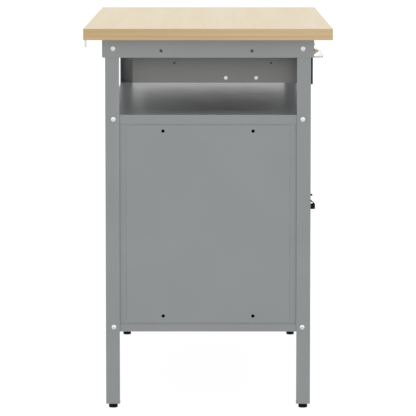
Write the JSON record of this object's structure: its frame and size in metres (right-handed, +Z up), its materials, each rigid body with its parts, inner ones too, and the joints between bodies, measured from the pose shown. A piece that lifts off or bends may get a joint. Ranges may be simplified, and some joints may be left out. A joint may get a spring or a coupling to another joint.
{
  "type": "workbench with drawers",
  "caption": "Steel-framed workbench with a wood board top, drawers under it, an open shelf and a cabinet with hinged doors below.",
  "frame": {"origin": "on the floor, under the middle of the worktop", "axes": "+X along the bench's length, +Z up; the drawers and doors open towards -Y"},
  "size_m": [1.2, 0.55, 0.85],
  "materials": {
    "worktop_board": "pale fine-grained board, satin lacquer",
    "grey_paint": "mid-grey powder coat, satin, fine orange peel",
    "inner_steel": "darker grey coating on sheet steel",
    "black_paint": "black powder coat, satin",
    "zinc": "bright zinc plate",
    "chrome": "polished chrome plate",
    "black_plastic": "moulded black plastic, fine texture"
  },
  "bodies": {
    "bench": {"worktop": "worktop_board", "worktop_screws": "zinc", "rear_studs": "zinc", "leg_front_left": "grey_paint", "leg_front_right": "grey_paint", "leg_back_left": "grey_paint", "leg_back_right": "grey_paint", "foot_front_left": "black_plastic", "foot_front_right": "black_plastic", "foot_back_left": "black_plastic", "foot_back_right": "black_plastic", "end_rail_left": "grey_paint", "end_rail_right": "grey_paint", "back_rail": "grey_paint", "front_stretcher": "grey_paint", "frame_bolts_left": "zinc", "frame_bolts_right": "zinc", "frame_nuts_left": "zinc", "frame_nuts_right": "zinc", "cabinet_top": "grey_paint", "cabinet_bottom": "grey_paint", "side_panel_left": "grey_paint", "side_panel_right": "grey_paint", "back_panel": "grey_paint", "centre_post": "grey_paint", "inner_shelf": "grey_paint", "shelf_supports": "zinc", "pivot_brackets_left": "zinc", "pivot_brackets_right": "zinc", "housing_panel_left": "inner_steel", "housing_panel_centre": "inner_steel", "housing_panel_right": "inner_steel", "housing_back": "inner_steel", "fixed_runners_left": "zinc", "fixed_runners_right": "zinc", "runner_bolts": "zinc", "door_catch": "black_plastic"},
    "left_drawer": {"drawer_front_left": "black_paint", "drawer_box_left": "inner_steel", "drawer_runners_left": "zinc", "handle_left": "chrome", "handle_screws_left": "zinc"},
    "right_drawer": {"drawer_front_right": "black_paint", "drawer_box_right": "inner_steel", "drawer_runners_right": "zinc", "handle_right": "chrome", "handle_screws_right": "zinc"},
    "left_door": {"door_left": "grey_paint", "door_pivots_left": "zinc", "door_strike": "zinc"},
    "right_door": {"door_right": "grey_paint", "door_pivots_right": "zinc", "latch_housing": "black_plastic"},
    "latch": {"latch_lever": "black_plastic", "latch_screw": "black_plastic", "latch_cam": "zinc"}
  },
  "joints": [
    {"name": "left_drawer_slide", "type": "slide", "parent": "bench", "child": "left_drawer", "axis": [0, -1, 0], "range_m": [0, 0.3]},
    {"name": "left_door_hinge", "type": "hinge", "parent": "bench", "child": "left_door", "pos_m": [-0.5295, -0.2185, 0.415], "axis": [0, 0, -1], "range_deg": [0, 95]},
    {"name": "right_drawer_slide", "type": "slide", "parent": "bench", "child": "right_drawer", "axis": [0, -1, 0], "range_m": [0, 0.3]},
    {"name": "right_door_hinge", "type": "hinge", "parent": "bench", "child": "right_door", "pos_m": [0.5295, -0.2185, 0.415], "axis": [0, 0, 1], "range_deg": [0, 95]},
    {"name": "latch_turn", "type": "hinge", "parent": "right_door", "child": "latch", "pos_m": [0.04, -0.2275, 0.418], "axis": [0, -1, 0], "range_deg": [0, 90]}
  ]
}
